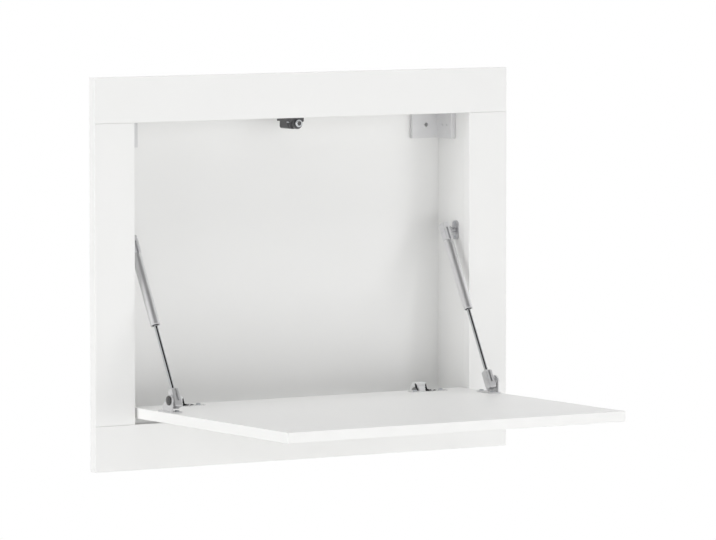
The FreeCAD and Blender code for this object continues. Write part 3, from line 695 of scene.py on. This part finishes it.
@dataclass
class PushLatch(SubAssembly):
    """The push latch under the niche's top: housing, plunger, magnet and spring.

    Attributes:
        housing_ease: Easing of the housing's corners.
        nose_round: Rounding of the plunger's nose.
        rear_ease: Easing of its rear edge.
        spring_radius: Radius of the bore for the spring, from its rear.
        spring_depth: Distance from its nose to that bore's floor.
        seat_ease: Easing of the rim of the magnet's seat.
        magnet_insets: How far the magnet's side, shoulder and dome stay inside its CAD radius.
        magnet_side: Distance from the magnet's face to the upper end of its side.
        magnet_step: Height of the step from its shoulder up to its dome.
        magnet_dome: How far its face rises to its middle.
        dome_facets: Facets from the middle of its face to its rim.
        facets: Facets round the plunger and the magnet.
    """

    housing_ease: float = 0.35
    nose_round: float = 2.0
    rear_ease: float = 0.3
    spring_radius: float = 4.4
    spring_depth: float = 14.0
    seat_ease: float = 0.2
    magnet_insets: tuple[float, float, float] = (0.2, 0.4, 0.5)
    magnet_side: float = 0.6
    magnet_step: float = 0.1
    magnet_dome: float = 0.25
    dome_facets: int = 6
    facets: int = 96

    def build(self) -> None:
        """Make and finish the latch's pieces."""
        self.ease(DARK_NYLON, self.housing_ease, "latch_housing")
        self.show("latch_nose", self.nose(), POLISHED_CHROME, "latch_plunger")
        self.show("latch_magnet_disc", self.magnet(), FERRITE, "latch_magnet")
        self.keep(SPRING_WIRE, "latch_spring")
        self.keep(ZINC_PLATE, "latch_screws")

    def nose(self) -> Mesh:
        """Turn the plunger: a round nose with the magnet's seat, and the spring's bore behind it.

        Returns:
            Its mesh.
        """
        low, high = [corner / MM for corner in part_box("latch_plunger")]
        radius, length = (high.x - low.x) / 2, high.y - low.y
        seat_radius, seat_depth = self.magnet_size()
        outline = [(0, -self.spring_depth), (self.spring_radius, -self.spring_depth),
                   (self.spring_radius, -length), (radius - self.rear_ease, -length),
                   (radius, self.rear_ease - length)]
        outline += rounded(radius, 0.0, self.nose_round)
        outline += [(seat_radius + self.seat_ease, 0.0), (seat_radius, -self.seat_ease),
                    (seat_radius, -seat_depth), (0, -seat_depth)]
        return turned(outline, facing("latch_plunger", "-y"), facets=self.facets)

    def magnet(self) -> Mesh:
        """Turn the magnet: a bare disc with a slightly domed face.

        Returns:
            Its mesh.
        """
        radius, depth = self.magnet_size()
        side, shoulder, dome = [radius - inset for inset in self.magnet_insets]
        outline = [(0, -depth), (side, -depth), (side, -self.magnet_side),
                   (shoulder, -self.magnet_dome - self.magnet_step)]
        for step in range(self.dome_facets - 1, -1, -1):
            out = step / self.dome_facets
            outline.append((dome * out, -self.magnet_dome * out ** 2))
        return turned(outline, facing("latch_magnet", "-y"), facets=self.facets)

    def magnet_size(self) -> Pair:
        """Radius and depth of the magnet, in millimetres."""
        low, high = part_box("latch_magnet")
        return (high.x - low.x) / 2 / MM, (high.y - low.y) / MM


@dataclass
class Flap(SubAssembly):
    """The desk top: its board, edge strips and strike disc.

    Attributes:
        strip: Thickness of the edge strips.
        strip_ease: Easing along them.
    """

    strip: float = 1.0
    strip_ease: float = 0.6

    def build(self) -> None:
        """Make and finish the flap's pieces."""
        self.show("flap_strips", joined(self.strips()), EDGE_STRIP, "flap_edging")
        self.keep(MELAMINE, "flap_board")
        self.keep(ENAMEL, "strike_disc")

    def strips(self) -> list[Mesh]:
        """Make the front and rear strips, and the side strips between them.

        Returns:
            Their meshes.
        """
        low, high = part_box("flap_edging")
        strip = self.strip * MM
        spans = (((low.x, high.x), (low.y, low.y + strip), "-y -x +x"),
                 ((low.x, high.x), (high.y - strip, high.y), "+y -x +x"),
                 ((low.x, low.x + strip), (low.y + strip, high.y - strip), "-x"),
                 ((high.x - strip, high.x), (low.y + strip, high.y - strip), "+x"))
        return [slab(Vector((x[0], y[0], low.z)), Vector((x[1], y[1], high.z)), outward + " -z +z",
                     self.strip_ease) for x, y, outward in spans]


@dataclass
class FlapHinges(SubAssembly):
    """The two cup hinges on the flap's rear edge.

    Attributes:
        sheet_ease: Easing of pressed sheet.
        arm_ease: Easing of the arms.
        hook: Outline of the hooked link, in painted shade, at each of the arm's sides, from the pivot.
        hook_sides: Distance of its two faces from the arm's middle.
    """

    sheet_ease: float = 0.2
    arm_ease: float = 0.4
    hook: tuple[Pair, ...] = (
        (-1.8, 5.0), (3.8, 14.2), (6.0, 20.0), (9.2, 20.0), (8.2, 15.0), (4.2, 11.2), (3.6, 5.0))
    hook_sides: Pair = (7.8, 9.6)

    def build(self) -> None:
        """Make and finish the hinges' pieces."""
        for side in SIDES:
            self.ease(NICKEL, self.sheet_ease, side + "_hinge_cup", side + "_hinge_plate")
            self.ease(TUMBLED_NICKEL, self.arm_ease, side + "_hinge_arm")
            # The hinge's links are black as painted shade beside each arm.
            self.show(side + "_hinge_painted_shade_links", self.links(side), PAINTED_SHADE_OXIDE, side + "_hinge_arm",
                      SLOTS[side + "_foot_rivet"])
            # The hidden arm goes back to the arm's own finish.
            self.keep(TUMBLED_NICKEL, side + "_hinge_arm")
            self.keep(NICKEL, side + "_hinge_pin")
        self.keep(ZINC_PLATE, "hinge_cup_screws", "hinge_arm_screws", "hinge_plate_screws")

    def links(self, side: str) -> Mesh:
        """Make the links of one hinge, a hook at each side of its arm, black as painted shade there.

        Args:
            side: The hinge's side.

        Returns:
            Their mesh.
        """
        low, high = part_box(side + "_hinge_pin")
        pivot = (low + high) / 2
        inner, outer = self.hook_sides
        return joined([plate(self.hook, pivot, *ends, self.sheet_ease)
                       for ends in ((inner, outer), (-outer, -inner))])


@dataclass
class Stays(SubAssembly):
    """The two telescopic stays, from the foot brackets on the flap to the wall brackets.

    Attributes:
        bracket_ease: Easing of the pressed brackets.
        tube_radius: Outer radius of the tubes.
        tube_bore: Their inner radius.
        tube_wall: Thickness of the wall at their upper ends.
        tube_ease: Easing of those ends.
        roll: Radius of the roll at their lower ends.
        mouth: Corners of the roll's inside, out from the guide's ring and up from the lower end.
        crimp: Distance of the crimp above the lower end, its width and its depth.
        bead: The same for the bead groove below the upper end.
        groove_floor: Where the floor of both grooves starts and ends, as shares of their width.
        neck: Distance of the tubes' upper ends from the head pivots.
        guide_radius: Outer radius of the guides' rings.
        guide_ends: Distance of those rings' ends from the tubes' lower ends.
        guide_eases: Easing of their lower edges, on the inside and on the outside.
        rod_room: Inner radius of those rings.
        lip_radius: Radius of the guide's lip in the CAD model.
        pin_radius: Radius of the pivots' pins.
        pin_head: Radius and height of the pins' heads.
        head_shape: Corners of those heads, as shares of their radius and of their height from the top.
        spacer: Radius of the foot pins' spacers, and their ends from the caps' faces.
        spacer_ease: Easing of the spacers' edges.
        cap: Radius and height of the foot caps.
        cap_ease: Easing of the caps' rear edge.
        cap_dome: Share of the caps' height that their dome takes.
        cap_facets: Facets from the middle of the dome to its rim.
        washer: Radius and height of the washers at the upper pivots.
        washer_ease: Easing of the washers' outer edge.
    """

    bracket_ease: float = 0.3
    tube_radius: float = 7.5
    tube_bore: float = 6.5
    tube_wall: float = 1.0
    tube_ease: float = 0.35
    roll: float = 1.2
    mouth: tuple[Pair, ...] = ((0.05, 1.56), (0.05, 0.4), (0.35, 0.05))
    crimp: tuple[float, float, float] = (6.2, 0.8, 0.35)
    bead: tuple[float, float, float] = (3.4, 0.6, 0.5)
    groove_floor: Pair = (0.3, 0.7)
    neck: float = 18.0
    guide_radius: float = 5.5
    guide_ends: Pair = (0.3, 6.0)
    guide_eases: Pair = (0.25, 0.2)
    rod_room: float = 3.05
    lip_radius: float = 5.2
    pin_radius: float = 2.5
    pin_head: Pair = (4.0, 1.0)
    head_shape: tuple[Pair, ...] = ((1.0, 1.0), (1.0, 0.7), (0.9, 0.35), (0.65, 0.1))
    spacer: tuple[float, float, float] = (6.5, 7.4, 4.9)
    spacer_ease: float = 0.4
    cap: Pair = (7.5, 2.4)
    cap_ease: float = 0.35
    cap_dome: float = 0.65
    cap_facets: int = 8
    washer: Pair = (6.0, 0.75)
    washer_ease: float = 0.2

    def build(self) -> None:
        """Make and finish the stays' pieces."""
        for side, outward, inward in zip(SIDES, ("-x", "+x"), ("+x", "-x")):
            self.keep(HARD_CHROME, side + "_stay_rod")
            self.keep(CAST_ZINC, side + "_rod_socket")
            self.keep(SATIN_NICKEL, side + "_tube_socket")
            self.keep(ACETAL, side + "_piston")
            self.show(side + "_tube_shell", self.tube(side), ANODISED, side + "_stay_tube")
            self.show(side + "_guide_ring", self.guide(side), ACETAL, side + "_tube_guide")
            foot, head = side + "_foot_rivet", side + "_head_rivet"
            self.show(side + "_foot_pin", self.foot_pin(foot, outward), CAST_ZINC, foot,
                      SLOTS[side + "_foot_bracket"])
            self.show(side + "_foot_cap", self.foot_cap(foot, outward), BLACK_ENAMEL, foot)
            self.show(side + "_head_pin", self.head_pin(head, inward), CAST_ZINC, head)
            self.ease(CAST_ZINC, self.bracket_ease, side + "_foot_bracket")
            self.ease(DULL_NICKEL, self.bracket_ease, side + "_wall_bracket")
        self.keep(ZINC_PLATE, "foot_bracket_screws", "wall_bracket_screws")

    def pivots(self, side: str) -> list[Vector]:
        """Foot pivot and head pivot of a stay, on the middle of its rod."""
        low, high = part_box(side + "_stay_rod")
        boxes = [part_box(side + node) for node in ("_foot_rivet", "_head_rivet")]
        return [Vector((low.x + high.x, *(start + end).yz)) / 2 for start, end in boxes]

    def line(self, side: str) -> Matrix:
        """Axes of a stay: Z runs from its foot pivot to its head pivot."""
        foot, head = self.pivots(side)
        return Matrix.Translation(foot) @ (head - foot).to_track_quat("Z", "Y").to_matrix().to_4x4()

    def lower_end(self, side: str) -> float:
        """Find a tube's lower end, from the box of the leaning guide in it.

        Args:
            side: The stay's side.

        Returns:
            Its distance from the foot pivot, in millimetres.
        """
        line = self.line(side)
        along = line.to_3x3() @ Vector((0, 0, 1))
        low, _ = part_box(side + "_tube_guide")
        end = low.z + self.lip_radius * MM * abs(along.y)
        return (end - line.translation.z) / along.z / MM

    def tube(self, side: str) -> Mesh:
        """Turn a tube: rolled in at its lower end, crimped above the roll, grooved below its head.

        Args:
            side: The stay's side.

        Returns:
            Its mesh.
        """
        low = self.lower_end(side)
        foot, head = self.pivots(side)
        high = (head - foot).length / MM - self.neck
        outer, bore = self.tube_radius, self.tube_bore
        outline = [(0, high - self.tube_wall), (bore, high - self.tube_wall),
                   (bore, low + 2 * self.roll)]
        outline += [(self.guide_radius + out, low + up) for out, up in self.mouth]
        outline += [(radius, 2 * low - height)
                    for radius, height in reversed(rounded(outer, low, self.roll))]
        for start, width, depth in ((low + self.crimp[0], *self.crimp[1:]),
                                    (high - self.bead[0] - self.bead[1], *self.bead[1:])):
            floor = [(outer - depth, start + width * share) for share in self.groove_floor]
            outline += [(outer, start), *floor, (outer, start + width)]
        outline += [(outer, high - self.tube_ease), (outer - self.tube_ease, high), (0, high)]
        return turned(outline, self.line(side))

    def guide(self, side: str) -> Mesh:
        """Turn the ring that guides the rod in the tube's lower end.

        Args:
            side: The stay's side.

        Returns:
            Its mesh.
        """
        room, radius = self.rod_room, self.guide_radius
        start, end = [self.lower_end(side) + up for up in self.guide_ends]
        inside, outside = self.guide_eases
        outline = [(room + inside, start), (room, start + inside), (room, end), (radius, end),
                   (radius, start + outside), (radius - outside, start)]
        return turned(outline, self.line(side), ring=True)

    def head_face(self) -> list[Pair]:
        """Outline of a pin's low domed head, from its pin to the middle of its face at height 0."""
        radius, height = self.pin_head
        dome = [(out * radius, -drop * height) for out, drop in self.head_shape]
        return [(self.pin_radius, -height), *dome, (0, 0.0)]

    def foot_pin(self, node: str, outward: str) -> Mesh:
        """Turn a foot pivot's pin with its inner head and its spacer.

        Args:
            node: The rivet's CAD node.
            outward: The side that its cap faces.

        Returns:
            Its mesh.
        """
        low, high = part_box(node)
        length = (high.x - low.x) / MM
        pin, ease = self.pin_radius, self.spacer_ease
        radius, start, end = self.spacer
        outline = [(out, -length - height) for out, height in reversed(self.head_face())]
        outline += [(pin, -start), (radius - ease, -start), (radius, ease - start),
                    (radius, -end - ease), (radius - ease, -end), (pin, -end),
                    (pin, -self.cap[1]), (0, -self.cap[1])]
        return turned(outline, facing(node, outward))

    def foot_cap(self, node: str, outward: str) -> Mesh:
        """Turn a foot pivot's cap, domed from its middle to its rim.

        Args:
            node: The rivet's CAD node.
            outward: The side that it faces.

        Returns:
            Its mesh.
        """
        radius, height = self.cap
        rise = self.cap_dome * height
        outline = [(0, -height), (radius - self.cap_ease, -height), (radius, self.cap_ease - height)]
        for step in range(self.cap_facets, -1, -1):
            turn = math.radians(90) * step / self.cap_facets
            outline.append((radius * math.sin(turn), rise * (math.cos(turn) - 1)))
        return turned(outline, facing(node, outward))

    def head_pin(self, node: str, inward: str) -> Mesh:
        """Turn an upper pivot's pin with its washer.

        Args:
            node: The rivet's CAD node.
            inward: The side that its head faces.

        Returns:
            Its mesh.
        """
        low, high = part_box(node)
        length = (high.x - low.x) / MM
        radius, height = self.washer
        ease = self.washer_ease
        outline = [(0, -length), (radius - ease, -length), (radius, ease - length),
                   (radius, height - length), (self.pin_radius, height - length)]
        outline += self.head_face()
        return turned(outline, facing(node, inward))


# ---- studio
@dataclass(frozen=True)
class Lamp:
    """A soft area lamp.

    Attributes:
        name: Its name.
        place: Where it stands, in metres.
        width: Width of its face.
        height: Height of its face.
        level: The share of full white that it alone gives a white surface that faces it.
    """

    name: str
    place: tuple[float, float, float]
    width: float
    height: float
    level: float


@dataclass
class Studio:
    """The camera, floor, lamps and the world round the desk.

    Attributes:
        camera_place: Where the camera stands, in metres.
        camera_yaw: Its turn from straight at the wall, in degrees.
        camera_pitch: Its tilt below level, in degrees.
        camera_lens: Its focal length, in millimetres.
        camera_sensor: Width of its sensor, in millimetres.
        floor_height: Height of the floor.
        floor_radius: Radius of the floor's disc.
        floor_fade: Shares of that radius between which the floor fades to white.
        floor_haze: Share of white over the floor's middle.
        floor_colours: The two sRGB colours of its grain.
        floor_grain: How many of its grains lie in a metre.
        floor_roughness: Its roughness.
        ambient: The world's level for everything but what the camera, gloss and glass see.
        cloth_colour: The black cloth's sRGB colour.
        cloth_radius: Its distance from the middle of the frame.
        cloth_sides: Its left and right end, in degrees from straight ahead.
        cloth_heights: How far above level its foot and its top are, in degrees.
        cloth_facets: Facets across it and up it.
        target: What the lamps point at.
        lamps: The lamps.
    """

    camera_place: tuple[float, float, float] = (-4.7759, -7.7692, 0.6712)
    camera_yaw: float = 32.431
    camera_pitch: float = 4.287
    camera_lens: float = 294.14
    camera_sensor: float = 36.0
    floor_height: float = -0.955
    floor_radius: float = 3.4
    floor_fade: Pair = (0.25, 0.92)
    floor_haze: float = 0.4
    floor_colours: tuple[str, str] = ("#EFEFEE", "#EBEBEA")
    floor_grain: float = 40.0
    floor_roughness: float = 0.6
    ambient: float = 0.33
    cloth_colour: str = "#161616"
    cloth_radius: float = 3.2
    cloth_sides: Pair = (-66.0, 46.0)
    cloth_heights: Pair = (18.0, 66.0)
    cloth_facets: tuple[int, int] = (24, 10)
    target: tuple[float, float, float] = (0.0, -0.15, 0.0)
    lamps: tuple[Lamp, ...] = (
        Lamp("front_lamp", (0.0, -5.0, 0.3), 2.4, 2.4, 0.08),
        Lamp("right_lamp", (3.2, -4.2, 0.6), 2.4, 2.4, 0.17),
        Lamp("top_lamp", (0.0, -0.6, 3.0), 2.4, 2.0, 0.48),
        Lamp("left_lamp", (-4.0, -1.2, 0.5), 2.4, 2.4, 0.19),
        Lamp("side_lamp", (-4.2, -0.35, 0.4), 1.0, 2.4, 0.33),
        Lamp("low_lamp", (0.0, -3.0, -0.8), 5.0, 1.2, 0.58),
        Lamp("rear_lamp", (0.8, 3.6, 0.8), 2.4, 2.4, 0.40),
    )

    def build(self) -> None:
        """Set up the whole studio."""
        self.add_camera()
        self.add_world()
        self.add_floor()
        self.add_black_cloth()
        for lamp in self.lamps:
            self.add_lamp(lamp)
        bpy.context.scene.view_settings.view_transform = "Standard"

    def add_camera(self) -> None:
        """Add the camera and make it the scene's own."""
        data = bpy.data.cameras.new("camera")
        data.lens = self.camera_lens
        data.sensor_width = self.camera_sensor
        camera = add_object("camera", data)
        camera.location = self.camera_place
        camera.rotation_euler = (math.radians(90 - self.camera_pitch), 0, -math.radians(self.camera_yaw))
        bpy.context.scene.camera = camera

    def seen(self, tree: NodeTree) -> NodeSocket:
        """Add nodes that give 1 for camera, glossy and transmission rays.

        Args:
            tree: The node tree that gets them.

        Returns:
            The socket with the result.
        """
        path = add_node(tree, "LightPath").outputs
        first = add_node(tree, "Math", {0: path["Is Camera Ray"], 1: path["Is Glossy Ray"]},
                         operation="MAXIMUM")
        both = add_node(tree, "Math", {0: first.outputs[0], 1: path["Is Transmission Ray"]},
                        operation="MAXIMUM")
        return both.outputs[0]

    def add_world(self) -> None:
        """Add a white background that lights the desk at the ambient level."""
        world = bpy.data.worlds.new("white_world")
        tree = blank_tree(world)
        level = add_node(tree, "MapRange", {"Value": self.seen(tree), "To Min": self.ambient,
                                            "To Max": 1.0})
        light = add_node(tree, "Background", {"Color": (1, 1, 1, 1),
                                              "Strength": level.outputs["Result"]})
        add_node(tree, "OutputWorld", {"Surface": light.outputs["Background"]})
        bpy.context.scene.world = world

    def add_floor(self) -> None:
        """Add a pale floor disc that fades to white at its rim."""
        work = bmesh.new()
        bmesh.ops.create_circle(work, cap_ends=True, segments=128, radius=self.floor_radius,
                                matrix=Matrix.Translation((0, 0, self.floor_height)))
        mesh = mesh_from(work, "floor")
        made = bpy.data.materials.new("pale_floor")
        tree = blank_tree(made)
        place = add_node(tree, "TexCoord").outputs["Object"]
        level = add_node(tree, "VectorMath", {0: place, 1: (1, 1, 0)}, operation="MULTIPLY")
        reach = add_node(tree, "VectorMath", {0: level.outputs[0]}, operation="LENGTH")
        start, end = [share * self.floor_radius for share in self.floor_fade]
        rim = add_node(tree, "MapRange", {"Value": reach.outputs["Value"], "From Min": start,
                                          "From Max": end, "To Min": self.floor_haze},
                       interpolation_type="SMOOTHSTEP")
        grain = add_node(tree, "TexNoise", {"Vector": place, "Scale": self.floor_grain, "Detail": 4.0})
        first, second = [linear(colour) for colour in self.floor_colours]
        tone = add_node(tree, "Mix", {"Factor": grain.outputs["Fac"], MIX_FIRST: first,
                                      MIX_SECOND: second}, data_type="RGBA")
        matt = add_node(tree, "BsdfPrincipled", {"Base Color": tone.outputs[MIX_RESULT],
                                                 "Roughness": self.floor_roughness})
        white = add_node(tree, "Emission", {"Color": (1, 1, 1, 1), "Strength": 1.0})
        both = add_node(tree, "Math", {0: rim.outputs["Result"], 1: self.seen(tree)},
                        operation="MULTIPLY")
        mixed = add_node(tree, "MixShader", {0: both.outputs[0], 1: matt.outputs["BSDF"],
                                             2: white.outputs["Emission"]})
        add_node(tree, "OutputMaterial", {"Surface": mixed.outputs["Shader"]})
        mesh.materials.append(made)
        add_object("floor", mesh)

    def add_black_cloth(self) -> None:
        """Hang a black cloth round the front and above, which shows in glossy reflections alone."""
        work = bmesh.new()
        across, up = self.cloth_facets
        left, right = [math.radians(angle) for angle in self.cloth_sides]
        foot, top = [math.radians(angle) for angle in self.cloth_heights]
        turns = [left + (right - left) * step / across for step in range(across + 1)]
        grid = []
        for row in range(up + 1):
            height = foot + (top - foot) * row / up
            grid.append([work.verts.new(Vector((math.sin(turn) * math.cos(height),
                                                -math.cos(turn) * math.cos(height),
                                                math.sin(height))) * self.cloth_radius)
                         for turn in turns])
        for below, above in zip(grid, grid[1:]):
            for step in range(across):
                work.faces.new((below[step], below[step + 1], above[step + 1], above[step]))
        mesh = mesh_from(work, "black_cloth")
        made = bpy.data.materials.new("black_felt")
        tree = blank_tree(made)
        felt = add_node(tree, "BsdfDiffuse", {"Color": linear(self.cloth_colour)})
        add_node(tree, "OutputMaterial", {"Surface": felt.outputs["BSDF"]})
        mesh.materials.append(made)
        cloth = add_object("black_cloth", mesh)
        for ray in ("camera", "diffuse", "shadow", "transmission", "volume_scatter"):
            setattr(cloth, "visible_" + ray, False)

    def add_lamp(self, lamp: Lamp) -> None:
        """Add a lamp that points at the target.

        Args:
            lamp: The lamp.
        """
        data = bpy.data.lights.new(lamp.name, "AREA")
        data.shape = "RECTANGLE"
        data.size = lamp.width
        data.size_y = lamp.height
        way = Vector(self.target) - Vector(lamp.place)
        data.energy = lamp.level * math.pi ** 2 * way.length_squared
        light = add_object(lamp.name, data)
        light.location = lamp.place
        light.rotation_mode = "QUATERNION"
        light.rotation_quaternion = way.to_track_quat("-Z", "Y")
        light.visible_glossy = False


def main() -> None:
    """Build the desk's sub-assemblies and the studio."""
    logging.basicConfig(level=logging.INFO, format="%(name)s: %(message)s")
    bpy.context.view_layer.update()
    Studio().build()
    for group in (Frame(), Niche(), Hangers(), PushLatch(), Flap(), FlapHinges(), Stays()):
        group.build()
        log.info("%s is ready", type(group).__name__)


if __name__ == "__main__":
    main()
